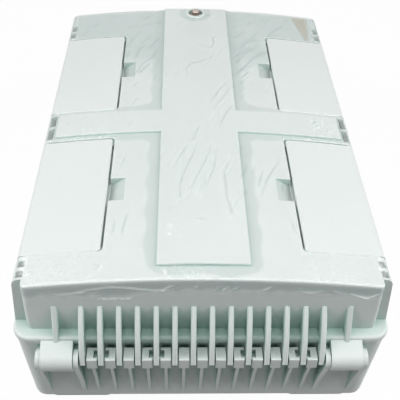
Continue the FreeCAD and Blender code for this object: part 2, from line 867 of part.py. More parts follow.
# Posts and saddles inside the base
tray_z = floor_z + tray_lift
hole_radius = screw_radius + screw_gap / 2
tray_posts = []
screw_holes = []
tray_post_places = [(0, tray_y - tray_post_span / 2), (0, tray_y + tray_post_span / 2)]
for x, y in tray_post_places:
    tray_posts.append(rod_z(tray_post_radius, floor_z - overlap, tray_z, x, y))
    screw_holes.append(rod_z(hole_radius, floor_z + screw_floor, tray_z + overlap, x, y))
panel_half = (adapter_count - 1) * adapter_pitch / 2 + adapter_width / 2 + panel_margin
panel_z = floor_z + panel_lift
panel_screw_x = panel_half - panel_boss_radius
panel_screw_y = panel_y + panel_foot - panel_boss_radius - overlap
for x in (-panel_screw_x, panel_screw_x):
    tray_posts.append(rod_z(panel_boss_radius, floor_z - overlap, panel_z, x, panel_screw_y))
    screw_holes.append(rod_z(hole_radius, floor_z + screw_floor, panel_z + overlap, x, panel_screw_y))
clamp_z = entry_height + clamp_rise - clamp_bar
clamp_screw_x = clamp_width / 2 - clamp_post / 2
saddles = []
for side in (-1, 1):
    for offset in (-clamp_screw_x, clamp_screw_x):
        x = side * feeder_offset + offset
        saddles.append(slab(
            x - clamp_post / 2, x + clamp_post / 2, clamp_y - clamp_depth / 2, clamp_y + clamp_depth / 2,
            floor_z - overlap, clamp_z
        ))
        screw_holes.append(rod_z(hole_radius, clamp_z - clamp_screw_depth, clamp_z + overlap, x, clamp_y))
boss_top = floor_z + earth_boss_height
earth_boss = rod_z(earth_boss_radius, floor_z - overlap, boss_top, earth_x, earth_y)
earth_hole = rod_z(earth_radius + seat_gap, floor_z + screw_floor, boss_top + overlap, earth_x, earth_y)

base = base.fuse(feet + hinge_solids + both(feeder_pad) + [drop_pad])
base = base.cut(cavity)
base = base.fuse(wall_bosses + tray_posts + saddles + [pillar, pillar_web, earth_boss])
base = base.cut(
    trunnion_slots + wall_holes + screw_holes + both(cheek_bore) + both(feeder_hole)
    + [drop_window, insert_hole, insert_relief, earth_hole]
)
nodes["base_housing"] = base.removeSplitter()

# Plain hinge pins, pressed in from outside until they lie below the outer cheek's face
pin_start = inner_cheek[0] + overlap + seat_gap
hinge_pin = rod_x(hinge_pin_radius, pin_start, outer_cheek[1] - hinge_pin_recess, axis_y, axis_z)
nodes["hinge_pin_right"] = hinge_pin
nodes["hinge_pin_left"] = mirrored(hinge_pin)

# Lock screw with a five-sided key head, its seal, retaining clip and the insert it screws into
collar_z = lock_seat + lock_seal + seat_gap
clip_z = column_low - lock_clip_gap - lock_clip
shank_end = pillar_top - lock_engage
key_z = collar_z + lock_collar
key_points = []
for i in range(lock_key_sides):
    angle = math.radians(90 + 360 / lock_key_sides * i)
    key_points.append(V(lock_key_radius * math.cos(angle), lock_y + lock_key_radius * math.sin(angle), key_z))
key_head = Part.Face(Part.makePolygon(key_points + key_points[:1])).extrude(V(0, 0, lock_key_height))
key_edges = [e for e in key_head.Edges if e.BoundBox.ZMin > key_z + overlap]
key_head = key_head.makeChamfer(lock_key_edge, key_edges)
collar = rod_z(lock_collar_radius, collar_z, key_z, 0, lock_y)
shank = rod_z(lock_shank_radius, shank_end, key_z, 0, lock_y)
neck_radius = lock_shank_radius - lock_clip_groove
clip_groove = rod_z(lock_shank_radius + overlap, clip_z, clip_z + lock_clip, 0, lock_y)
clip_groove = clip_groove.cut(rod_z(neck_radius, clip_z, clip_z + lock_clip, 0, lock_y))
nodes["lock_screw"] = merged(key_head, [collar, shank]).cut(clip_groove)
clip_ring = rod_z(lock_clip_radius, clip_z + seat_gap, clip_z + lock_clip - seat_gap, 0, lock_y)
clip_ring = clip_ring.cut(rod_z(neck_radius + seat_gap, clip_z, clip_z + lock_clip, 0, lock_y))
mouth_half = lock_clip_mouth / 2
mouth = slab(-mouth_half, mouth_half, lock_y, lock_y + lock_clip_radius + overlap, clip_z, clip_z + lock_clip)
nodes["lock_clip"] = clip_ring.cut(mouth)
seal_radius = lock_collar_radius - lock_seal_inset
seal_ring = rod_z(seal_radius, lock_seat + seat_gap / 2, lock_seat + lock_seal, 0, lock_y)
seal_bore = rod_z(lock_shank_radius + lock_shank_gap, lock_seat, lock_seat + lock_seal + overlap, 0, lock_y)
nodes["lock_seal_ring"] = seal_ring.cut(seal_bore)
insert_low = pillar_top - lock_insert_length + seat_gap
insert = rod_z(lock_insert_radius - pin_seat_gap, insert_low, pillar_top, 0, lock_y)
nodes["lock_insert"] = insert.cut(insert_relief)

# Feeder grommets: stepped closed rubber plugs, revolved about the entry axis
g = wall_out + rubber_gap / 4
r_hole = feeder_hole_radius - rubber_gap
inner_face = cavity_low_far - rubber_gap
nose_y = g + feeder_flange
grommet_outline = [
    (0, inner_face - feeder_inner),
    (r_hole * 0.9, inner_face - feeder_inner),
    (r_hole + feeder_lip, inner_face - feeder_lip_thick),
    (r_hole + feeder_lip, inner_face),
    (r_hole, inner_face),
    (r_hole, g),
    (feeder_flange_radius, g),
    (feeder_flange_radius, nose_y),
    (r_hole * 0.9, nose_y),
    (r_hole * 0.75, nose_y + feeder_nose * 0.4),
    (r_hole * 0.6, nose_y + feeder_nose * 0.4),
    (r_hole * 0.45, nose_y + feeder_nose),
    (0, nose_y + feeder_nose),
]
corners = [V(feeder_offset + r, y, entry_height) for r, y in grommet_outline]
grommet = Part.Face(Part.makePolygon(corners + corners[:1]))
grommet = grommet.revolve(V(feeder_offset, 0, entry_height), V(0, 1, 0), 360)
nodes["feeder_grommet_right"] = grommet
nodes["feeder_grommet_left"] = mirrored(grommet)

# Drop cable seal: one rubber strip with a closed nose for each cable
seal_half = drop_half - rubber_gap
seal_h = drop_window_height / 2 - rubber_gap
strip_out = g + drop_flange_edge
seal_body = slab(
    -seal_half, seal_half, inner_face - drop_inner, strip_out, entry_height - seal_h, entry_height + seal_h
)
strip_half = seal_half + drop_flange_edge
strip_h = seal_h + drop_flange_edge
strip = slab(-strip_half, strip_half, g, strip_out, entry_height - strip_h, entry_height + strip_h)


def rounded_along_y(block):
    edges = []
    for edge in block.Edges:
        if edge.BoundBox.XLength < 0.01 and edge.BoundBox.ZLength < 0.01:
            edges.append(edge)
    return block.makeFillet(drop_corner_round, edges)


noses = []
for i in range(drop_count):
    x = (i - (drop_count - 1) / 2) * drop_pitch
    root = V(x, strip_out - overlap, entry_height)
    tip_radius = drop_nose_radius * 0.6
    noses.append(Part.makeCone(drop_nose_radius, tip_radius, drop_nose + overlap, root, V(0, 1, 0)))
nodes["drop_seal"] = merged(rounded_along_y(seal_body), [rounded_along_y(strip)] + noses)

# Adapter panel: folded sheet with a row of cut-outs, adapters and their dust caps
plate_y = panel_y
panel = profile_x(
    [
        (plate_y, panel_z + seat_gap), (plate_y + panel_foot, panel_z + seat_gap),
        (plate_y + panel_foot, panel_z + panel_thick), (plate_y + panel_thick, panel_z + panel_thick),
        (plate_y + panel_thick, panel_z + panel_height), (plate_y, panel_z + panel_height),
    ],
    -panel_half, panel_half
)
adapter_z = panel_z + panel_height * 0.6
panel_cuts = []
adapters = []
caps_inner = []
caps_outer = []
y_mid = plate_y + panel_thick
half_w = adapter_width / 2
half_h = adapter_height / 2
port_w = adapter_port_width / 2
port_h = adapter_port_height / 2
for i in range(adapter_count):
    x = (i - (adapter_count - 1) / 2) * adapter_pitch
    panel_cuts.append(slab(
        x - half_w - adapter_gap, x + half_w + adapter_gap, plate_y - overlap, y_mid + overlap,
        adapter_z - half_h - adapter_gap, adapter_z + half_h + adapter_gap
    ))
    y0 = y_mid - adapter_length / 2
    y1 = y_mid + adapter_length / 2
    body = slab(x - half_w, x + half_w, y0, y1, adapter_z - half_h, adapter_z + half_h)
    lip = slab(
        x - half_w - adapter_lip, x + half_w + adapter_lip,
        y_mid + seat_gap, y_mid + seat_gap + adapter_flange,
        adapter_z - half_h - adapter_lip, adapter_z + half_h + adapter_lip
    )
    ports = []
    for a, b in ((y0 - overlap, y0 + adapter_port_depth), (y1 - adapter_port_depth, y1 + overlap)):
        ports.append(slab(x - port_w, x + port_w, a, b, adapter_z - port_h, adapter_z + port_h))
    adapters.append(merged(body, [lip]).cut(ports))
    for face_y, side, caps in ((y0, -1, caps_inner), (y1, 1, caps_outer)):
        plug_ends = sorted((face_y - side * cap_plug, face_y + side * cap_head))
        head_ends = sorted((face_y + side * seat_gap, face_y + side * cap_head))
        plug = slab(
            x - port_w + adapter_gap, x + port_w - adapter_gap, plug_ends[0], plug_ends[1],
            adapter_z - port_h + adapter_gap, adapter_z + port_h - adapter_gap
        )
        head = slab(
            x - half_w + cap_inset, x + half_w - cap_inset, head_ends[0], head_ends[1],
            adapter_z - half_h + cap_inset, adapter_z + half_h - cap_inset
        )
        caps.append(merged(plug, [head]))
for x in (-panel_screw_x, panel_screw_x):
    panel_cuts.append(rod_z(screw_radius + screw_gap, panel_z - overlap, panel_z + spare, x, panel_screw_y))
nodes["adapter_panel"] = panel.cut(panel_cuts)
nodes["sc_adapters"] = Part.makeCompound(adapters)
nodes["dust_caps_inner"] = Part.makeCompound(caps_inner)
nodes["dust_caps_outer"] = Part.makeCompound(caps_outer)


def hexagon(radius, x, y, z):
    points = []
    for i in range(7):
        angle = math.radians(60 * i)
        points.append(V(x + radius * math.cos(angle), y + radius * math.sin(angle), z))
    return Part.Face(Part.makePolygon(points))


def screw(x, y, seat, length):
    head = rod_z(screw_head_radius, seat + seat_gap, seat + seat_gap + screw_head, x, y)
    socket = hexagon(screw_radius, x, y, seat + screw_head / 2).extrude(V(0, 0, screw_head))
    return merged(head.cut(socket), [rod_z(screw_radius, seat - length, seat + seat_gap, x, y)])


panel_seat = panel_z + panel_thick
panel_screw_length = panel_seat - floor_z - screw_floor - screw_tip_gap
nodes["panel_screws"] = Part.makeCompound(
    [screw(x, panel_screw_y, panel_seat, panel_screw_length) for x in (-panel_screw_x, panel_screw_x)]
)

# Splice trays: rounded trays with a fibre drum, cable mouths at two corners and holes for the long screws
tray_y0 = tray_y - tray_length / 2
tray_y1 = tray_y + tray_length / 2


def splice_tray(z):
    tray = plate(tray_width / 2, tray_y0, tray_y1, tray_corner_round, z, z + tray_depth)
    tray = tray.cut(plate(
        tray_width / 2 - tray_wall, tray_y0 + tray_wall, tray_y1 - tray_wall, tray_corner_round - tray_wall,
        z + tray_wall, z + tray_depth + overlap
    ))
    extras = []
    for x, y in tray_post_places:
        extras.append(rod_z(tray_post_radius, z, z + tray_depth, x, y))
    drum = rod_z(drum_radius, z, z + tray_depth - drum_drop, 0, tray_y)
    drum = drum.cut(rod_z(drum_radius - drum_wall, z + tray_wall, z + tray_depth, 0, tray_y))
    drum = drum.cut(slab(-drum_gap / 2, drum_gap / 2, tray_y0, tray_y1, z + tray_wall, z + tray_depth))
    tray = merged(tray, extras + [drum])
    holes = []
    for x, y in tray_post_places:
        holes.append(rod_z(screw_radius + screw_gap, z - overlap, z + tray_depth + overlap, x, y))
    mouth_x = tray_width / 2 - tray_corner_round
    mouth_y = tray_y1 - tray_wall - overlap
    for x in (-mouth_x, mouth_x):
        holes.append(slab(
            x - tray_mouth / 2, x + tray_mouth / 2, mouth_y, tray_y1 + overlap,
            z + tray_wall, z + tray_depth + overlap
        ))
    return tray.cut(holes).removeSplitter()


def splice_comb(x, z):
    width = comb_slots * comb_pitch + comb_rib
    y0 = tray_y - comb_length / 2
    comb = slab(x - width / 2, x + width / 2, y0, y0 + comb_length, z, z + comb_rib)
    ribs = []
    for i in range(comb_slots + 1):
        a = x - width / 2 + i * comb_pitch
        ribs.append(slab(a, a + comb_rib, y0, y0 + comb_length, z, z + comb_height))
    return merged(comb, ribs)


tray_levels = {"lower": tray_z + seat_gap, "upper": tray_z + tray_depth + tray_gap}
for level, z in tray_levels.items():
    nodes["splice_tray_" + level] = splice_tray(z)
    comb_z = z + tray_wall + seat_gap
    combs = [splice_comb(x, comb_z) for x in (-comb_offset, comb_offset)]
    nodes["splice_combs_" + level] = Part.makeCompound(combs)
cover_z = tray_levels["upper"] + tray_depth + seat_gap
cover = plate(tray_width / 2, tray_y0, tray_y1, tray_corner_round, cover_z, cover_z + cover_thick)
cover_seat = cover_z + cover_thick
cover_holes = []
for x, y in tray_post_places:
    cover_holes.append(rod_z(screw_radius + screw_gap, cover_z - overlap, cover_seat + overlap, x, y))
nodes["tray_cover"] = cover.cut(cover_holes)
tray_screw_length = cover_seat - floor_z - screw_floor - screw_tip_gap
nodes["tray_screws"] = Part.makeCompound(
    [screw(x, y, cover_seat, tray_screw_length) for x, y in tray_post_places]
)

# Cable clamps, strength posts, earth stud and fibre clips
clamp_screws = []
for name, side in (("left", -1), ("right", 1)):
    x = side * feeder_offset
    bar = slab(
        x - clamp_width / 2, x + clamp_width / 2, clamp_y - clamp_depth / 2, clamp_y + clamp_depth / 2,
        clamp_z + seat_gap, clamp_z + clamp_bar
    )
    arch_radius = clamp_width / 2 - clamp_post
    arch_z = clamp_z + clamp_bar / 2 - arch_radius
    arch = rod_y(arch_radius, clamp_y - clamp_depth, clamp_y + clamp_depth, x, arch_z)
    bar_top = clamp_z + clamp_bar
    holes = []
    for offset in (-clamp_screw_x, clamp_screw_x):
        screw_x = x + offset
        holes.append(rod_z(screw_radius + screw_gap, clamp_z - overlap, bar_top + overlap, screw_x, clamp_y))
        clamp_screws.append(screw(screw_x, clamp_y, bar_top, clamp_bar + clamp_screw_depth - screw_tip_gap))
    nodes["cable_clamp_" + name] = bar.cut([arch] + holes)
nodes["clamp_screws"] = Part.makeCompound(clamp_screws)

posts = []
post_screws = []
post_top = floor_z + post_height
for side in (-1, 1):
    x = side * feeder_offset
    post = hexagon(post_radius, x, post_y, floor_z + seat_gap).extrude(V(0, 0, post_height - seat_gap))
    hole = rod_z(screw_radius + screw_gap, post_top - post_screw_depth, post_top + overlap, x, post_y)
    posts.append(post.cut(hole))
    post_screws.append(screw(x, post_y, post_top, post_screw_depth - screw_tip_gap))
nodes["strength_posts"] = Part.makeCompound(posts)
nodes["strength_screws"] = Part.makeCompound(post_screws)

stud_low = floor_z + screw_floor + seat_gap
nodes["earth_stud"] = rod_z(earth_radius, stud_low, floor_z + earth_length, earth_x, earth_y)
nut = hexagon(earth_nut_radius, earth_x, earth_y, boss_top + seat_gap).extrude(V(0, 0, earth_nut_height))
nut_hole = rod_z(earth_radius + seat_gap, boss_top, boss_top + spare, earth_x, earth_y)
nodes["earth_nut"] = nut.cut(nut_hole)

clips = []
clip_z = floor_z + seat_gap
for y in clip_places:
    for x in (-clip_x, clip_x):
        clip = slab(
            x - clip_width / 2, x + clip_width / 2, y - clip_depth / 2, y + clip_depth / 2,
            clip_z, clip_z + clip_height
        )
        inside_half = clip_width / 2 - clip_wall
        inside_top = clip_z + clip_height - clip_wall
        inside = slab(
            x - inside_half, x + inside_half, y - clip_depth, y + clip_depth, clip_z + clip_wall, inside_top
        )
        mouth = slab(
            x - clip_mouth / 2, x + clip_mouth / 2, y - clip_depth, y + clip_depth,
            inside_top - overlap, clip_z + clip_height + overlap
        )
        clips.append(clip.cut([inside, mouth]))
nodes["fibre_clips"] = Part.makeCompound(clips)

os.makedirs("parts", exist_ok=True)
for name, shape in nodes.items():
    shape.exportStep("parts/" + name + ".step")
    print(name, len(shape.Solids), shape.isValid(), round(shape.Volume))
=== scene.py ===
import math
import random

import bpy
import numpy as np
from mathutils import Matrix, Vector


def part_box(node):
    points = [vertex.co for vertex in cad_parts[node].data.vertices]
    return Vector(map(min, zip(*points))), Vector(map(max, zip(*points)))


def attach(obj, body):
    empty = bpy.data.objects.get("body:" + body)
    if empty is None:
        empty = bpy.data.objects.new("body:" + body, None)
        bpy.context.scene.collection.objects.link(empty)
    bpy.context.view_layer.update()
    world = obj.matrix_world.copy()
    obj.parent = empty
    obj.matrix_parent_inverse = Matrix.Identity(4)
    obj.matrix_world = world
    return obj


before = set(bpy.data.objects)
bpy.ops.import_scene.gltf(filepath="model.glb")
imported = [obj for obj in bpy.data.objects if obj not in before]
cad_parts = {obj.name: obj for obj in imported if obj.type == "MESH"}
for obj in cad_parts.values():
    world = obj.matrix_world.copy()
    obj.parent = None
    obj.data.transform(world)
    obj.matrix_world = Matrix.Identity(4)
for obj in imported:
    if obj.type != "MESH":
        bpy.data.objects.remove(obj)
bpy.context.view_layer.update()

bpy.ops.object.select_all(action="DESELECT")

# Base housing
# The deep half of the box, injection moulded in pale mint-grey plastic with a fine satin skin, and with
# painted shade that turns it a deeper green in slots and dark in pockets. It lies on its four corner feet,
# and the lugs along its hinge end carry the lid.


def put(tree, kind, x, y, **settings):
    node = tree.nodes.new(kind)
    node.location = (x, y)
    for name, value in settings.items():
        setattr(node, name, value)
    return node


def new_group(name, inputs, outputs):
    group = bpy.data.node_groups.new(name, "ShaderNodeTree")
    for socket, kind, value in inputs:
        made = group.interface.new_socket(socket, in_out="INPUT", socket_type=kind)
        made.default_value = value
    for socket, kind in outputs:
        group.interface.new_socket(socket, in_out="OUTPUT", socket_type=kind)
    enter = put(group, "NodeGroupInput", -1000, 0)
    leave = put(group, "NodeGroupOutput", 700, 0)
    return group, enter, leave


def spread(tree, value, low, high, x, y):
    # Stretches the middle of a noise pattern, where nearly all of it lies, to run from low to high.
    noise_low = 0.32
    noise_high = 0.68
    node = put(tree, "ShaderNodeMapRange", x, y, clamp=True)
    node.inputs["From Min"].default_value = noise_low
    node.inputs["From Max"].default_value = noise_high
    tree.links.new(value, node.inputs["Value"])
    for socket, end in (("To Min", low), ("To Max", high)):
        if isinstance(end, (int, float)):
            node.inputs[socket].default_value = end
        else:
            tree.links.new(end, node.inputs[socket])
    return node.outputs["Result"]


moulded_skin, enter, leave = new_group(
    "moulded_skin",
    [
        ("Light Tone", "NodeSocketColor", (0.8, 0.8, 0.8, 1)),
        ("Dark Tone", "NodeSocketColor", (0.7, 0.7, 0.7, 1)),
        ("Patch Scale", "NodeSocketFloat", 9.0),
        ("Grain Scale", "NodeSocketFloat", 900.0),
        ("Smooth", "NodeSocketFloat", 0.4),
        ("Rough", "NodeSocketFloat", 0.5),
    ],
    [
        ("Colour", "NodeSocketColor"),
        ("Roughness", "NodeSocketFloat"),
        ("Grain", "NodeSocketFloat"),
    ],
)
coords = put(moulded_skin, "ShaderNodeTexCoord", -1000, -400)
patches = put(moulded_skin, "ShaderNodeTexNoise", -700, 200)
patches.inputs["Detail"].default_value = 4.0
grain = put(moulded_skin, "ShaderNodeTexNoise", -700, -200)
grain.inputs["Detail"].default_value = 2.0
rubs = put(moulded_skin, "ShaderNodeTexNoise", -700, -500)
rubs.inputs["Scale"].default_value = 38.0
rubs.inputs["Detail"].default_value = 5.0
for texture in (patches, grain, rubs):
    moulded_skin.links.new(coords.outputs["Object"], texture.inputs["Vector"])
moulded_skin.links.new(enter.outputs["Patch Scale"], patches.inputs["Scale"])
moulded_skin.links.new(enter.outputs["Grain Scale"], grain.inputs["Scale"])
tone = put(moulded_skin, "ShaderNodeMix", -100, 200, data_type="RGBA")
patchiness = spread(moulded_skin, patches.outputs["Fac"], 0.0, 1.0, -400, 200)
moulded_skin.links.new(patchiness, tone.inputs["Factor"])
moulded_skin.links.new(enter.outputs["Dark Tone"], tone.inputs["A"])
moulded_skin.links.new(enter.outputs["Light Tone"], tone.inputs["B"])
speckle = put(moulded_skin, "ShaderNodeHueSaturation", 250, 200)
moulded_skin.links.new(tone.outputs["Result"], speckle.inputs["Color"])
flecks = spread(moulded_skin, grain.outputs["Fac"], 0.985, 1.015, 0, -100)
moulded_skin.links.new(flecks, speckle.inputs["Value"])
moulded_skin.links.new(speckle.outputs["Color"], leave.inputs["Colour"])
finish = spread(
    moulded_skin, rubs.outputs["Fac"], enter.outputs["Smooth"], enter.outputs["Rough"], -100, -500
)
moulded_skin.links.new(finish, leave.inputs["Roughness"])
moulded_skin.links.new(grain.outputs["Fac"], leave.inputs["Grain"])


def moulded(name, light, dark, smooth, rough, relief, patch=9.0, grain_scale=900.0):
    material = bpy.data.materials.new(name)
    material.use_nodes = True
    tree = material.node_tree
    shader = tree.nodes["Principled BSDF"]
    skin = put(tree, "ShaderNodeGroup", -600, 0, node_tree=moulded_skin)
    skin.inputs["Light Tone"].default_value = (*light, 1)
    skin.inputs["Dark Tone"].default_value = (*dark, 1)
    skin.inputs["Patch Scale"].default_value = patch
    skin.inputs["Grain Scale"].default_value = grain_scale
    skin.inputs["Smooth"].default_value = smooth
    skin.inputs["Rough"].default_value = rough
    bump = put(tree, "ShaderNodeBump", -300, -300)
    bump.inputs["Strength"].default_value = 0.5
    bump.inputs["Distance"].default_value = relief
    tree.links.new(skin.outputs["Colour"], shader.inputs["Base Color"])
    tree.links.new(skin.outputs["Roughness"], shader.inputs["Roughness"])
    tree.links.new(skin.outputs["Grain"], bump.inputs["Height"])
    tree.links.new(bump.outputs["Normal"], shader.inputs["Normal"])
    return material


def dress(material, *nodes):
    for node in nodes:
        for slot in bpy.data.objects[node].material_slots:
            slot.material = material


shell_light = (0.752, 0.806, 0.786)
shell_dark = (0.722, 0.780, 0.758)
slot_shade = (0.51, 0.68, 0.62)
pocket_shade = (0.17, 0.23, 0.21)
pocket_sky = 0.03
sky_reach = 0.022


def pale_shell(name, slot_sky, face_sky):
    # The satin skin with painted shade, set by how much open sky the plastic leaves above a point: a
    # deeper green in a slot and dark in a pocket.
    material = moulded(name, light=shell_light, dark=shell_dark, smooth=0.40, rough=0.50, relief=0.00003)
    tree = material.node_tree
    open_sky = put(tree, "ShaderNodeAmbientOcclusion", -900, 400, samples=16, only_local=True)
    open_sky.inputs["Distance"].default_value = sky_reach
    shade_ramp = put(tree, "ShaderNodeValToRGB", -650, 400)
    pocket, face = shade_ramp.color_ramp.elements
    pocket.position = pocket_sky
    pocket.color = (*pocket_shade, 1)
    face.position = face_sky
    face.color = (1, 1, 1, 1)
    shade_ramp.color_ramp.elements.new(slot_sky).color = (*slot_shade, 1)
    tree.links.new(open_sky.outputs["AO"], shade_ramp.inputs["Fac"])
    shaded_colour = put(tree, "ShaderNodeMix", -300, 300, data_type="RGBA", blend_type="MULTIPLY")
    shaded_colour.inputs["Factor"].default_value = 1.0
    tree.links.new(tree.nodes["Group"].outputs["Colour"], shaded_colour.inputs["A"])
    tree.links.new(shade_ramp.outputs["Color"], shaded_colour.inputs["B"])
    tree.links.new(shaded_colour.outputs["Result"], tree.nodes["Principled BSDF"].inputs["Base Color"])
    return material


dress(pale_shell("base_shell", slot_sky=0.42, face_sky=0.82), "base_housing")

# Hinge pins
# Two plain turned steel pins, zinc plated, pushed in from outside through the cheeks of the base and
# the knuckles of the lid until their ends lie below the cheek.
turned_metal, enter, leave = new_group(
    "turned_metal",
    [
        ("Light Tone", "NodeSocketColor", (0.65, 0.65, 0.66, 1)),
        ("Dark Tone", "NodeSocketColor", (0.45, 0.45, 0.46, 1)),
        ("Lines", "NodeSocketVector", (100.0, 100.0, 100.0)),
        ("Smooth", "NodeSocketFloat", 0.25),
        ("Rough", "NodeSocketFloat", 0.45),
    ],
    [
        ("Colour", "NodeSocketColor"),
        ("Roughness", "NodeSocketFloat"),
        ("Lines", "NodeSocketFloat"),
    ],
)
coords = put(turned_metal, "ShaderNodeTexCoord", -1000, -400)
stretch = put(turned_metal, "ShaderNodeMapping", -750, -300)
turned_metal.links.new(coords.outputs["Object"], stretch.inputs["Vector"])
turned_metal.links.new(enter.outputs["Lines"], stretch.inputs["Scale"])
lines = put(turned_metal, "ShaderNodeTexNoise", -500, -300)
lines.inputs["Scale"].default_value = 1.0
lines.inputs["Detail"].default_value = 3.0
turned_metal.links.new(stretch.outputs["Vector"], lines.inputs["Vector"])
tarnish = put(turned_metal, "ShaderNodeTexNoise", -500, 200)
tarnish.inputs["Scale"].default_value = 160.0
tarnish.inputs["Detail"].default_value = 5.0
turned_metal.links.new(coords.outputs["Object"], tarnish.inputs["Vector"])
tone = put(turned_metal, "ShaderNodeMix", 100, 200, data_type="RGBA")
dullness = spread(turned_metal, tarnish.outputs["Fac"], 0.0, 1.0, -200, 200)
turned_metal.links.new(dullness, tone.inputs["Factor"])
turned_metal.links.new(enter.outputs["Dark Tone"], tone.inputs["A"])
turned_metal.links.new(enter.outputs["Light Tone"], tone.inputs["B"])
turned_metal.links.new(tone.outputs["Result"], leave.inputs["Colour"])
finish = spread(
    turned_metal, lines.outputs["Fac"], enter.outputs["Smooth"], enter.outputs["Rough"], -100, -400
)
turned_metal.links.new(finish, leave.inputs["Roughness"])
turned_metal.links.new(lines.outputs["Fac"], leave.inputs["Lines"])


def turned(name, light, dark, lines_xyz, smooth, rough):
    material = bpy.data.materials.new(name)
    material.use_nodes = True
    tree = material.node_tree
    shader = tree.nodes["Principled BSDF"]
    shader.inputs["Metallic"].default_value = 1.0
    skin = put(tree, "ShaderNodeGroup", -600, 0, node_tree=turned_metal)
    skin.inputs["Light Tone"].default_value = (*light, 1)
    skin.inputs["Dark Tone"].default_value = (*dark, 1)
    skin.inputs["Lines"].default_value = lines_xyz
    skin.inputs["Smooth"].default_value = smooth
    skin.inputs["Rough"].default_value = rough
    bump = put(tree, "ShaderNodeBump", -300, -300)
    bump.inputs["Strength"].default_value = 0.3
    bump.inputs["Distance"].default_value = 0.00003
    tree.links.new(skin.outputs["Colour"], shader.inputs["Base Color"])
    tree.links.new(skin.outputs["Roughness"], shader.inputs["Roughness"])
    tree.links.new(skin.outputs["Lines"], bump.inputs["Height"])
    tree.links.new(bump.outputs["Normal"], shader.inputs["Normal"])
    return material


zinc_light = (0.66, 0.67, 0.68)
zinc_dark = (0.48, 0.49, 0.51)
zinc_along_x = turned(
    "zinc_along_x",
    light=zinc_light,
    dark=zinc_dark,
    lines_xyz=(2600, 60, 60),
    smooth=0.26,
    rough=0.42,
)
dress(zinc_along_x, "hinge_pin_left", "hinge_pin_right")

# Entry seals
# Closed black rubber plugs in the far wall: two stepped ones for the feeder cables and a strip with
# a row of small noses for the drop cables. They are snapped in and held by their lips.
seal_rubber = moulded(
    "seal_rubber",
    light=(0.050, 0.051, 0.053),
    dark=(0.028, 0.028, 0.030),
    smooth=0.62,
    rough=0.80,
    relief=0.00005,
    patch=30.0,
    grain_scale=1400.0,
)
dress(seal_rubber, "feeder_grommet_left", "feeder_grommet_right", "drop_seal")

# Adapter panel
# A folded strip of zinc plated sheet, screwed to two bosses in the floor, with a row of cut-outs
# that hold the adapters.
spangle_sheet = bpy.data.materials.new("spangle_sheet")
spangle_sheet.use_nodes = True
tree = spangle_sheet.node_tree
shader = tree.nodes["Principled BSDF"]
shader.inputs["Metallic"].default_value = 1.0
coords = put(tree, "ShaderNodeTexCoord", -1200, 0)
crystals = put(tree, "ShaderNodeTexVoronoi", -950, 150)
crystals.inputs["Scale"].default_value = 190.0
rolled = put(tree, "ShaderNodeTexNoise", -950, -200)
rolled.inputs["Scale"].default_value = 420.0
rolled.inputs["Detail"].default_value = 4.0
for texture in (crystals, rolled):
    tree.links.new(coords.outputs["Object"], texture.inputs["Vector"])
flake = put(tree, "ShaderNodeSeparateColor", -700, 150)
tree.links.new(crystals.outputs["Color"], flake.inputs["Color"])
tone = put(tree, "ShaderNodeMix", -350, 150, data_type="RGBA")
tone.inputs["A"].default_value = (0.50, 0.51, 0.53, 1)
tone.inputs["B"].default_value = (0.66, 0.67, 0.69, 1)
tree.links.new(flake.outputs["Red"], tone.inputs["Factor"])
tree.links.new(tone.outputs["Result"], shader.inputs["Base Color"])
tree.links.new(spread(tree, rolled.outputs["Fac"], 0.34, 0.50, -500, -200), shader.inputs["Roughness"])
dress(spangle_sheet, "adapter_panel")

# Adapters and dust caps
# Twelve green moulded plastic adapters clipped into the panel's cut-outs, each closed at both ends by
# a soft milky cap that is pushed on.
adapter_green = moulded(
    "adapter_green",
    light=(0.050, 0.300, 0.130),
    dark=(0.036, 0.245, 0.100),
    smooth=0.24,
    rough=0.36,
    relief=0.00002,
    patch=60.0,
    grain_scale=1800.0,
)
cap_milky = moulded(
    "cap_milky",
    light=(0.800, 0.810, 0.790),
    dark=(0.730, 0.745, 0.730),
    smooth=0.34,
    rough=0.48,
    relief=0.00002,
    patch=90.0,
    grain_scale=1600.0,
)
dress(adapter_green, "sc_adapters")
dress(cap_milky, "dust_caps_inner", "dust_caps_outer")

# Splice trays
# Two pale moulded trays on posts with a fibre drum in the middle, black combs that hold the splice
# sleeves, and a smoked clear cover sheet held by two long screws.
tray_pale = moulded(
    "tray_pale",
    light=(0.760, 0.780, 0.765),
    dark=(0.715, 0.740, 0.725),
    smooth=0.42,
    rough=0.55,
    relief=0.00003,
    patch=18.0,
)
comb_black = moulded(
    "comb_black",
    light=(0.070, 0.070, 0.074),
    dark=(0.045, 0.045, 0.048),
    smooth=0.40,
    rough=0.58,
    relief=0.00003,
    patch=60.0,
    grain_scale=1500.0,
)
cover_smoked = moulded(
    "cover_smoked",
    light=(0.620, 0.690, 0.715),
    dark=(0.560, 0.630, 0.655),
    smooth=0.12,
    rough=0.22,
    relief=0.00001,
    patch=14.0,
    grain_scale=600.0,
)
cover_alpha = 0.45
cover_smoked.node_tree.nodes["Principled BSDF"].inputs["Alpha"].default_value = cover_alpha
dress(tray_pale, "splice_tray_lower", "splice_tray_upper", "fibre_clips")
dress(comb_black, "splice_combs_lower", "splice_combs_upper")
dress(cover_smoked, "tray_cover")

# Fixings inside the base
# Zinc plated screws and posts, clamp bars folded from the same sheet as the panel, and turned brass
# for the earth stud, its nut and the insert that the lock screws into.
zinc_along_z = turned(
    "zinc_along_z",
    light=zinc_light,
    dark=zinc_dark,
    lines_xyz=(140, 140, 2400),
    smooth=0.26,
    rough=0.44,
)
stud_brass = turned(
    "stud_brass",
    light=(0.720, 0.560, 0.290),
    dark=(0.560, 0.420, 0.200),
    lines_xyz=(140, 140, 2400),
    smooth=0.22,
    rough=0.42,
)
dress(zinc_along_z, "panel_screws", "tray_screws", "clamp_screws", "strength_posts", "strength_screws")
dress(spangle_sheet, "cable_clamp_left", "cable_clamp_right")
dress(stud_brass, "earth_stud", "earth_nut", "lock_insert")
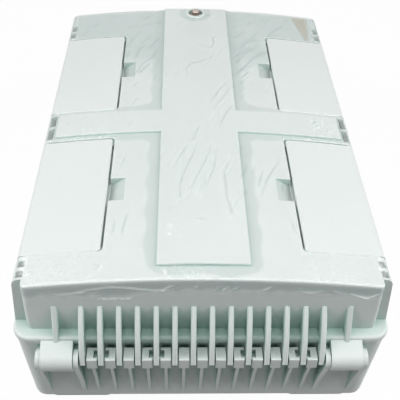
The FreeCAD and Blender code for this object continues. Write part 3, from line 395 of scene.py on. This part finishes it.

# Lid shell
# The crowned half of the box, moulded in the same pale plastic as the base, with a raised spine and
# cross band, side rails and a row of hinge fins. A rubber gasket sits in the groove under its flange.
# Painted shade turns the slots between its fins a deeper green and its pockets dark, as on the base.
dress(pale_shell("lid_skin", slot_sky=0.18, face_sky=0.96), "lid_shell")
dress(seal_rubber, "rim_gasket")

# Lid flaps
# Four thin curved plates of the same plastic that lie flush in the lid, each turning on a thin steel
# pin held in the side rail.
flap_shell = moulded(
    "flap_shell",
    light=(0.815, 0.862, 0.846),
    dark=(0.798, 0.848, 0.831),
    smooth=0.36,
    rough=0.44,
    relief=0.00002,
    patch=7.0,
)
zinc_along_y = turned(
    "zinc_along_y",
    light=zinc_light,
    dark=zinc_dark,
    lines_xyz=(60, 2600, 60),
    smooth=0.26,
    rough=0.42,
)
dress(flap_shell, "flap_near_left", "flap_near_right", "flap_far_left", "flap_far_right")
dress(zinc_along_y, "flap_pin_near_left", "flap_pin_near_right", "flap_pin_far_left", "flap_pin_far_right")

# Lock
# A captive five-sided key screw in nickel plated brass with a rubber ring under its collar and a
# spring clip below, which keeps it in the lid.
lock_metal = turned(
    "lock_metal",
    light=(0.600, 0.515, 0.460),
    dark=(0.430, 0.365, 0.325),
    lines_xyz=(160, 160, 2200),
    smooth=0.36,
    rough=0.52,
)
dress(lock_metal, "lock_screw")
dress(zinc_along_z, "lock_clip")
dress(seal_rubber, "lock_seal_ring")

# Protective film
# A thin clear sheet that the box leaves the factory in, laid over the lid and folded down its near
# wall, cut out round the flaps and the lock. It clings to the plastic except beside the raised steps.
film_half = 0.1312
corner_x = 0.1255
corner_y = -0.1880
film_far = 0.1915
film_gap = 0.0003
film_step = 0.0010
fold_y = -0.1950
fold_round = 0.0021
fold_rows = 4
wall_rows = 15
flap_cut_x = 0.0713
flap_cuts_y = ((-0.1684, -0.0336), (0.0076, 0.1424))
lock_cut = 0.0120
cast_from_z = 0.3
cast_from_y = -0.3
off_lid_z = 0.1
lid = bpy.data.objects["lid_shell"]
lock_low, lock_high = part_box("lock_screw")
lock_y = (lock_low[1] + lock_high[1]) / 2
draw = random.Random(41)


def even_lines(stops):
    lines = [stops[0]]
    for a, b in zip(stops, stops[1:]):
        count = max(1, round((b - a) / film_step))
        lines.extend(a + (b - a) * (i + 1) / count for i in range(count))
    return np.array(lines)


film_x = even_lines([-film_half, -corner_x, -flap_cut_x, flap_cut_x, corner_x, film_half])
film_y = even_lines([fold_y, corner_y, *flap_cuts_y[0], *flap_cuts_y[1], film_far])
columns = len(film_x)
top_rows = len(film_y)
low_rows = fold_rows + wall_rows
rows = low_rows + top_rows


def lid_height(x, y):
    hit, place, normal, face = lid.ray_cast(Vector((x, y, cast_from_z)), Vector((0, 0, -1)))
    return place.z if hit else off_lid_z


rest_z = np.array([[lid_height(x, y) for x in film_x] for y in film_y]) + film_gap
film_z = rest_z.copy()

# The sheet is relaxed over the lid: it spans from each raised step down to the plastic beside it. The pull
# that brings it down differs in broad patches, so the line where it touches down is uneven.
even_pull = 0.0000055
uneven_pull = 0.0000020
relax_turns = 1200
pull_patches = np.sin(film_y[:, None] * 190 + film_x[None] * 60)
sag = even_pull + uneven_pull * pull_patches * np.cos(film_x[None] * 150)
for turn in range(relax_turns):
    edge = np.pad(film_z, 1, mode="edge")
    around = (edge[:-2, 1:-1] + edge[2:, 1:-1] + edge[1:-1, :-2] + edge[1:-1, 2:]) / 4
    film_z = np.maximum(rest_z, around - sag)

# The sheet laid flat: U runs across the lid, V along it and on down the near wall to the wavy edge.
film_drop = 0.0110
tongue_drop = 0.0060
tongue_x = -0.062
tongue_width = 0.020
edge_waves = 7
edge_wave_height = 0.0005
drop = film_drop + tongue_drop * np.exp(-((film_x - tongue_x) / tongue_width) ** 2)
for wave in range(edge_waves):
    drop = drop + edge_wave_height * np.sin(film_x * draw.uniform(90, 620) + draw.uniform(0, 6))
fold_turns = [math.radians(90) * (fold_rows - j) / (fold_rows + 1) for j in range(fold_rows)]
U = np.tile(film_x, (rows, 1))
V = np.zeros((rows, columns))
V[low_rows:] = film_y[:, None]
for j, turn in enumerate(fold_turns):
    V[wall_rows + j] = fold_y - fold_round * turn
wall_start = fold_y - fold_round * math.pi / 2
for j in range(wall_rows):
    V[j] = wall_start - drop * (wall_rows - j) / wall_rows
masks = {name: np.zeros((rows, columns)) for name in ("lift", "shine", "shade", "stain")}
full_lift = 0.00014
masks["lift"][low_rows:] = np.clip((film_z - rest_z) / full_lift, 0, 1)
relief = np.zeros((rows, columns))
fold_sample = 0.0007
fold_reach = 0.006


def crease(points, width, height, dark, light, lean=1.7, soft=6):
    # One fold of the sheet along points in millimetres: relief, painted shade on the line, painted
    # highlight beside it.
    points = np.array(points, float) / 1000
    runs = np.hypot(*np.diff(points, axis=0).T)
    reach = np.concatenate(([0], np.cumsum(runs)))
    steps = np.linspace(0, reach[-1], max(9, int(reach[-1] / fold_sample)))
    line = np.stack([np.interp(steps, reach, points[:, k]) for k in (0, 1)], axis=1)
    ends = np.pad(line, ((soft, soft), (0, 0)), mode="edge")
    line = sum(ends[k:k + len(line)] for k in range(2 * soft + 1)) / (2 * soft + 1)
    phase = draw.uniform(0, 6)
    ahead = np.gradient(line, axis=0)
    ahead = ahead / np.maximum(np.hypot(*ahead.T)[:, None], 1e-9)
    beside = np.stack([ahead[:, 1], -ahead[:, 0]], axis=1)
    wander = 0.0004 * np.sin(steps / 0.0085 + phase) + 0.0001 * np.sin(steps / 0.0023)
    line = line + beside * wander[:, None]
    near = (U > line[:, 0].min() - fold_reach) & (U < line[:, 0].max() + fold_reach)
    near = near & (V > line[:, 1].min() - fold_reach) & (V < line[:, 1].max() + fold_reach)
    if not near.any():
        return
    gap = np.stack([U[near], V[near]], axis=1)[:, None, :] - line[None]
    nearest = np.argmin((gap ** 2).sum(axis=2), axis=1)
    gap = gap[np.arange(len(nearest)), nearest]
    aside = (gap * beside[nearest]).sum(axis=1)
    past = np.abs((gap * ahead[nearest]).sum(axis=1))
    way = np.clip(steps[nearest] / reach[-1], 0.02, 0.98)
    taper = np.sin(np.pi * way) ** 0.6 * np.exp(-(past / width) ** 2)
    ridge = np.exp(-(aside / width) ** 2) * taper
    flank = np.exp(-((aside - lean * width) / (1.1 * width)) ** 2) * taper
    relief[near] += height * ridge
    masks["shade"][near] += dark * ridge
    masks["shine"][near] += light * flank


# Long folds over the spine and the panels beside it
long_folds = (
    ((8, 11), (18, 30), (31, 55)),
    ((13, 3), (22, 22), (33, 46)),
    ((16, -24), (24, -4), (32, 13)),
    ((-6, -45), (-2, -30), (1, -20)),
    ((-11, 57), (-10, 73), (-7, 81), (2, 83), (14, 91), (18, 104)),
    ((1, 122), (7, 114), (14, 110), (18, 120), (16, 130), (24, 143)),
    ((0, -41), (-11, -77), (-17, -102), (-17, -122)),
    ((11, -47), (2, -77), (-6, -98), (-14, -114)),
    ((16, -41), (10, -81), (0, -117)),
    ((-11, -47), (-22, -81)),
    ((24, -68), (18, -86), (20, -117), (24, -139)),
    ((-7, -139), (4, -139)),
    ((-62, -56), (-65, -78)),
    ((-65, -133), (-66, -154)),
    ((-56, -128), (-59, -154)),
    ((66, -60), (52, -93), (45, -113)),
    ((51, -77), (44, -101)),
    ((66, -132), (69, -153)),
    ((-70, 96), (-67, 112)),
    ((-62, 93), (-57, 116), (-51, 120)),
    ((-57, 67), (-46, 86)),
    ((-62, 44), (-54, 53)),
    ((45, 123), (62, 135), (68, 134)),
    ((38, 84), (50, 111), (57, 119)),
    ((39, 69), (55, 95), (66, 111)),
    ((41, 58), (51, 73)),
    ((73, 136), (81, 157), (95, 171)),
    ((-32, -184.6), (0, -184.6), (32, -184.6)),
)
for points in long_folds:
    width = draw.uniform(0.0008, 0.0010)
    height = draw.uniform(0.00007, 0.00016)
    crease(points, width, height, dark=draw.uniform(1.0, 1.4), light=0.14)

# Fine folds and crinkles in patches: across, along, angle from the far end, length, number, painted shade,
# painted highlight
fold_patches = (
    ((-28, 30), (-150, 100), (12, 26), (26, 62), 17, 0.62, 0.08),
    ((-66, -42), (18, 135), (12, 32), (16, 38), 13, 0.60, 0.08),
    ((42, 68), (18, 150), (24, 42), (18, 42), 15, 0.62, 0.08),
    ((-66, 66), (-150, -50), (6, 26), (14, 34), 16, 0.48, 0.08),
    ((-118, 118), (146, 186), (15, 75), (7, 20), 22, 0.40, 0.08),
    ((96, 123), (-29, 3), (20, 75), (5, 13), 30, 0.80, 0.30),
    ((-122, -50), (-28, 4), (0, 40), (5, 14), 10, 0.40, 0.12),
    ((-122, -66), (-193, -171), (0, 180), (3, 9), 75, 0.55, 0.18),
    ((66, 122), (-193, -171), (0, 180), (4, 11), 32, 0.45, 0.18),
    ((-30, 3), (-193, -188), (-50, -15), (7, 12), 15, 0.0, 0.50),
    ((-26, -15), (-156, -144), (0, 180), (2, 6), 12, 0.05, 0.40),
    ((-122, -76), (-33.2, -29.0), (78, 102), (4, 13), 13, 0.25, 0.45),
    ((76, 122), (-33.2, -29.0), (78, 102), (4, 13), 13, 0.25, 0.45),
    ((-129, -123), (-188, -171), (-12, 12), (4, 9), 9, 0.15, 0.60),
    ((123, 129), (-188, -171), (-12, 12), (4, 9), 9, 0.15, 0.60),
)
crinkle_widths = (0.0007, 0.0010)
crinkle_height = 0.00014
for across, along, angles, lengths, count, dark, light in fold_patches:
    for number in range(count):
        x = draw.uniform(*across)
        y = draw.uniform(*along)
        angle = math.radians(draw.uniform(*angles))
        half = draw.uniform(*lengths) / 2
        bow = draw.uniform(-0.2, 0.2) * half
        dx, dy = half * math.sin(angle), half * math.cos(angle)
        middle = (x + bow * math.cos(angle), y - bow * math.sin(angle))
        points = ((x - dx, y - dy), middle, (x + dx, y + dy))
        strength = draw.uniform(0.4, 1.0)
        width = draw.uniform(*crinkle_widths)
        crease(points, width, crinkle_height * strength, dark * strength, light * strength)

# Soft folds down the near wall: points in millimetres across and below the bend, then width, height,
# painted highlight
wall_folds = (
    (((-90, 9), (-81, 5), (-63, 4), (-34, 8), (-16, 7)), 0.0011, 0.0010, 0.65),
    (((-112, 4), (-100, 8), (-86, 7), (-70, 9)), 0.0010, 0.0007, 0.45),
    (
        ((-77, 13), (-72, 15), (-69, 14), (-66, 16), (-61, 14.5), (-58, 16.5), (-55, 15)),
        0.0007,
        0.0010,
        1.2,
    ),
    (((-58, 14), (-54, 16), (-52, 15.5), (-49, 13)), 0.0007, 0.0010, 1.2),
    (((-30, 11), (-26, 6), (-18, 3)), 0.0009, 0.0008, 0.45),
    (((-8, 8), (-2, 3)), 0.0009, 0.0008, 0.40),
    (((6, 10), (10, 4)), 0.0010, 0.0008, 0.45),
    (((12, 10), (17, 4)), 0.0010, 0.0008, 0.45),
    (((19, 10), (25, 4)), 0.0010, 0.0008, 0.45),
    (((40, 9), (47, 4)), 0.0009, 0.0010, 0.70),
    (((62, 7), (74, 9), (86, 5)), 0.0011, 0.0008, 0.45),
    (((88, 4), (98, 8)), 0.0010, 0.0008, 0.45),
    (((100, 7), (110, 9), (115, 10), (118, 7), (125, 4)), 0.0009, 0.0012, 0.95),
)
for points, width, height, light in wall_folds:
    flat = [(x, wall_start * 1000 - down) for x, down in points]
    crease(flat, width, height, dark=0.0, light=light, lean=-0.5, soft=2)

# Painted highlight on the sheet at the bend, over the side rails and along its cut edges; painted shade on
# the near wall, fading to its lower edge, and slight painted shade over the far panels where it doesn't
# stand off the lid.
bend_shine = 0.28
rail_x = 0.1262
rail_shine = 0.45
cut_shine = 0.30
cut_inner = 0.0009
cut_outer = 0.0005
cut_past = 0.0012
wall_shade = 0.95
wall_fade = 2.2
spine_half = 0.0335
far_shade_start = 0.05
far_shade_run = 0.05
far_shade_amount = 0.80
far_shade_lifted = 0.55
off_middle = np.abs(U)
masks["shine"][wall_rows:low_rows + 1] += bend_shine
masks["shade"][:wall_rows] += wall_shade * np.clip(np.linspace(0, wall_fade, wall_rows), 0, 1)[:, None]
far_shade = (far_shade_amount - far_shade_lifted * masks["lift"]) * np.clip((V - far_shade_start) / far_shade_run, 0, 1)
masks["shade"] += np.where(off_middle > spine_half, far_shade, 0)
masks["shine"][(off_middle > rail_x) & (V > corner_y)] += rail_shine
for a, b in flap_cuts_y:
    along = (V > a - cut_past) & (V < b + cut_past)
    beside_cut = (off_middle < flap_cut_x + cut_outer) & (off_middle > flap_cut_x - cut_inner)
    masks["shine"][along & beside_cut] += cut_shine
    for end in (a, b):
        masks["shine"][(np.abs(V - end) < cut_inner) & (off_middle > flap_cut_x)] += cut_shine

# A brownish patch on the far right corner of the sheet, which narrows towards the flap
patch_corners = np.array([(0.1046, 0.1925), (0.1222, 0.1925), (0.1188, 0.1415), (0.1155, 0.1415)])
patch_soft = 0.0030
inside = np.full((rows, columns), 1.0)
for a, b in zip(patch_corners, np.roll(patch_corners, -1, axis=0)):
    run = (b - a) / np.hypot(*(b - a))
    inside = np.minimum(inside, (run[1] * (U - a[0]) - run[0] * (V - a[1])) / patch_soft + 0.5)
masks["stain"] = np.clip(inside, 0, 1)

# The folded sheet: flat on the lid, round the bend in a few rows, then down the near wall, slightly looser
# towards its lower edge
wall_loose = 0.0006
place = np.zeros((rows, columns, 3))
place[low_rows:, :, 0] = U[low_rows:]
place[low_rows:, :, 1] = V[low_rows:]
place[low_rows:, :, 2] = film_z + relief[low_rows:]
for i, x in enumerate(film_x):
    start_z = film_z[0, i]
    for j, turn in enumerate(fold_turns):
        bend_y = fold_y - fold_round * math.sin(turn)
        bend_z = start_z - fold_round * (1 - math.cos(turn))
        place[wall_rows + j, i] = (x, bend_y, bend_z)
    for j in range(wall_rows):
        z = start_z - fold_round - (wall_start - V[j, i])
        hit, spot, normal, face = lid.ray_cast(Vector((x, cast_from_y, z)), Vector((0, 1, 0)))
        wall_y = spot.y if hit else fold_y - fold_round
        loose = 1 - j / wall_rows
        place[j, i] = (x, wall_y - film_gap - wall_loose * loose - relief[j, i], z)

bpy.ops.mesh.primitive_grid_add(x_subdivisions=columns - 1, y_subdivisions=rows - 1, size=1.0)
film = bpy.context.active_object
film.name = "lid_film"
film.data.name = "lid_film"
corner = np.empty(len(film.data.vertices) * 3)
film.data.vertices.foreach_get("co", corner)
corner = corner.reshape(-1, 3)
column_of = np.rint((corner[:, 0] + 0.5) * (columns - 1)).astype(int)
row_of = np.rint((corner[:, 1] + 0.5) * (rows - 1)).astype(int)
film.data.vertices.foreach_set("co", place[row_of, column_of].ravel())
for name, values in masks.items():
    layer = film.data.attributes.new(name, "FLOAT", "POINT")
    layer.data.foreach_set("value", np.clip(values, 0, 1)[row_of, column_of])
film.data.update()
bpy.ops.object.mode_set(mode="EDIT")
bpy.ops.mesh.select_mode(type="FACE")
bpy.ops.mesh.select_all(action="DESELECT")
bpy.ops.object.mode_set(mode="OBJECT")
for face in film.data.polygons:
    x, y, z = face.center
    over_flap = abs(x) > flap_cut_x and any(a < y < b for a, b in flap_cuts_y)
    over_lock = math.hypot(x, y - lock_y) < lock_cut
    past_corner = abs(x) > corner_x and y < corner_y
    face.select = over_flap or over_lock or past_corner

# The sheet cut away over the flaps, round the lock and past the near corners
bpy.ops.object.mode_set(mode="EDIT")
bpy.ops.mesh.delete(type="FACE")
bpy.ops.object.mode_set(mode="OBJECT")
bpy.ops.object.shade_smooth()
film.visible_shadow = False

clear_film = bpy.data.materials.new("clear_film")
clear_film.use_nodes = True
tree = clear_film.node_tree
shader = tree.nodes["Principled BSDF"]
shader.inputs["IOR"].default_value = 1.5
shader.inputs["Specular IOR Level"].default_value = 0.35
coords = put(tree, "ShaderNodeTexCoord", -1300, -500)
haze = put(tree, "ShaderNodeTexNoise", -1050, -500)
haze.inputs["Scale"].default_value = 24.0
haze.inputs["Detail"].default_value = 5.0
tree.links.new(coords.outputs["Object"], haze.inputs["Vector"])
read = {}
for number, name in enumerate(masks):
    node = put(tree, "ShaderNodeAttribute", -1300, 500 - 200 * number, attribute_name=name)
    read[name] = node.outputs["Fac"]


def weigh(a, b, x, y, kind="MULTIPLY"):
    node = put(tree, "ShaderNodeMath", x, y, operation=kind, use_clamp=kind == "ADD")
    for socket, value in zip(node.inputs, (a, b)):
        if isinstance(value, (int, float)):
            socket.default_value = value
        else:
            tree.links.new(value, socket)
    return node.outputs[0]


# The sheet's grey is painted shade, on its folds, on the near wall, over the far panels and where it
# stands off beside the raised steps; its white is painted highlight. Both make the sheet less clear there.
lift_shade_share = 0.9
shade_share = weigh(weigh(read["lift"], lift_shade_share, -1000, 400), read["shade"], -800, 350, "ADD")
clear_tone = (0.92, 0.94, 0.94)
film_tones = (
    (shade_share, (0.29, 0.385, 0.375)),
    (read["shine"], (0.97, 0.98, 0.98)),
    (read["stain"], (0.50, 0.475, 0.405)),
)
for number, (factor, film_tone) in enumerate(film_tones):
    mix = put(tree, "ShaderNodeMix", -600 + 200 * number, 300, data_type="RGBA")
    mix.inputs["B"].default_value = (*film_tone, 1)
    tree.links.new(factor, mix.inputs["Factor"])
    if number == 0:
        mix.inputs["A"].default_value = (*clear_tone, 1)
    else:
        tree.links.new(colour, mix.inputs["A"])
    colour = mix.outputs["Result"]
tree.links.new(colour, shader.inputs["Base Color"])
cover = spread(tree, haze.outputs["Fac"], 0.02, 0.06, -800, -500)
film_cover = (("lift", 0.17), ("shade", 0.34), ("shine", 0.60), ("stain", 0.50))
for number, (name, amount) in enumerate(film_cover):
    cover = weigh(cover, weigh(read[name], amount, -800, -150 * number), -500 + 120 * number, -100, "ADD")
tree.links.new(cover, shader.inputs["Alpha"])
tree.links.new(spread(tree, haze.outputs["Fac"], 0.10, 0.28, -500, -600), shader.inputs["Roughness"])
film.data.materials.append(clear_film)
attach(film, "lid")

# Studio
# A plain pale floor, a large soft lamp on each side, a smaller one overhead and a low one behind, a weak
# even surround, and the camera above the hinge end.
floor_size = 9.0
floor_bounce = 0.20
floor_white = 0.98
floor_glow = 0.955
surround_light = 0.08
bpy.ops.mesh.primitive_plane_add(size=floor_size, location=(0, 0, 0))
floor = bpy.context.active_object
floor.name = "studio_floor"
floor_paint = bpy.data.materials.new("floor_paint")
floor_paint.use_nodes = True
tree = floor_paint.node_tree
tree.nodes.remove(tree.nodes["Principled BSDF"])
rays = put(tree, "ShaderNodeLightPath", -900, 0)


def seen_directly(tree, rays):
    first = put(tree, "ShaderNodeMath", -700, 100, operation="MAXIMUM")
    tree.links.new(rays.outputs["Is Camera Ray"], first.inputs[0])
    tree.links.new(rays.outputs["Is Glossy Ray"], first.inputs[1])
    both = put(tree, "ShaderNodeMath", -500, 100, operation="MAXIMUM")
    tree.links.new(first.outputs[0], both.inputs[0])
    tree.links.new(rays.outputs["Is Transmission Ray"], both.inputs[1])
    return both.outputs[0]


seen = seen_directly(tree, rays)
paint = put(tree, "ShaderNodeMix", -300, -100, data_type="RGBA")
paint.inputs["A"].default_value = (floor_bounce, floor_bounce, floor_bounce, 1)
paint.inputs["B"].default_value = (floor_white, floor_white, floor_white, 1)
tree.links.new(seen, paint.inputs["Factor"])
matt = put(tree, "ShaderNodeBsdfDiffuse", -100, -100)
tree.links.new(paint.outputs["Result"], matt.inputs["Color"])
glow = put(tree, "ShaderNodeEmission", -100, -300)
glow.inputs["Strength"].default_value = 1.0
share = put(tree, "ShaderNodeMath", -300, 200, operation="MULTIPLY")
share.inputs[1].default_value = floor_glow
tree.links.new(seen, share.inputs[0])
blend = put(tree, "ShaderNodeMixShader", 150, 0)
tree.links.new(share.outputs[0], blend.inputs["Fac"])
tree.links.new(matt.outputs["BSDF"], blend.inputs[1])
tree.links.new(glow.outputs["Emission"], blend.inputs[2])
tree.links.new(blend.outputs["Shader"], tree.nodes["Material Output"].inputs["Surface"])
floor.data.materials.append(floor_paint)

surround = bpy.data.worlds.new("studio_surround")
bpy.context.scene.world = surround
surround.use_nodes = True
tree = surround.node_tree
rays = put(tree, "ShaderNodeLightPath", -900, 0)
level = put(tree, "ShaderNodeMapRange", -300, 0)
level.inputs["To Min"].default_value = surround_light
level.inputs["To Max"].default_value = 1.0
tree.links.new(seen_directly(tree, rays), level.inputs["Value"])
tree.nodes["Background"].inputs["Color"].default_value = (1, 1, 1, 1)
tree.links.new(level.outputs["Result"], tree.nodes["Background"].inputs["Strength"])

# Each lamp: its name, place, size in metres and power in watts
aim = Vector((0.0, -0.10, 0.12))
softboxes = (
    ("left_softbox", (-1.05, -0.37, 0.85), 1.00, 11.6),
    ("right_softbox", (1.05, -0.37, 0.85), 1.00, 11.6),
    ("top_softbox", (0.0, -0.41, 1.22), 0.50, 3.8),
    ("back_softbox", (0.0, 1.15, 0.105), 0.19, 3.3),
)
for name, spot, size, power in softboxes:
    bpy.ops.object.light_add(type="AREA", location=spot)
    lamp = bpy.context.active_object
    lamp.name = name
    lamp.data.shape = "SQUARE"
    lamp.data.size = size
    lamp.data.energy = power
    lamp.visible_camera = False
    lamp.rotation_euler = (aim - lamp.location).to_track_quat("-Z", "Y").to_euler()

camera_place = Vector((-0.01866, -0.51438, 0.49641))
camera_pitch = math.radians(41.85)
camera_yaw = math.radians(2.49)
camera_roll = math.radians(1.92)
lens = bpy.data.cameras.new("product_camera")
lens.sensor_width = 36.0
lens.lens = 63.0
lens.clip_start = 0.01
camera = bpy.data.objects.new("product_camera", lens)
bpy.context.collection.objects.link(camera)
turn = Matrix.Rotation(-camera_yaw, 4, "Z") @ Matrix.Rotation(math.radians(90) - camera_pitch, 4, "X")
camera.matrix_world = Matrix.Translation(camera_place) @ turn @ Matrix.Rotation(camera_roll, 4, "Z")
bpy.context.scene.camera = camera
bpy.context.scene.view_settings.view_transform = "Standard"
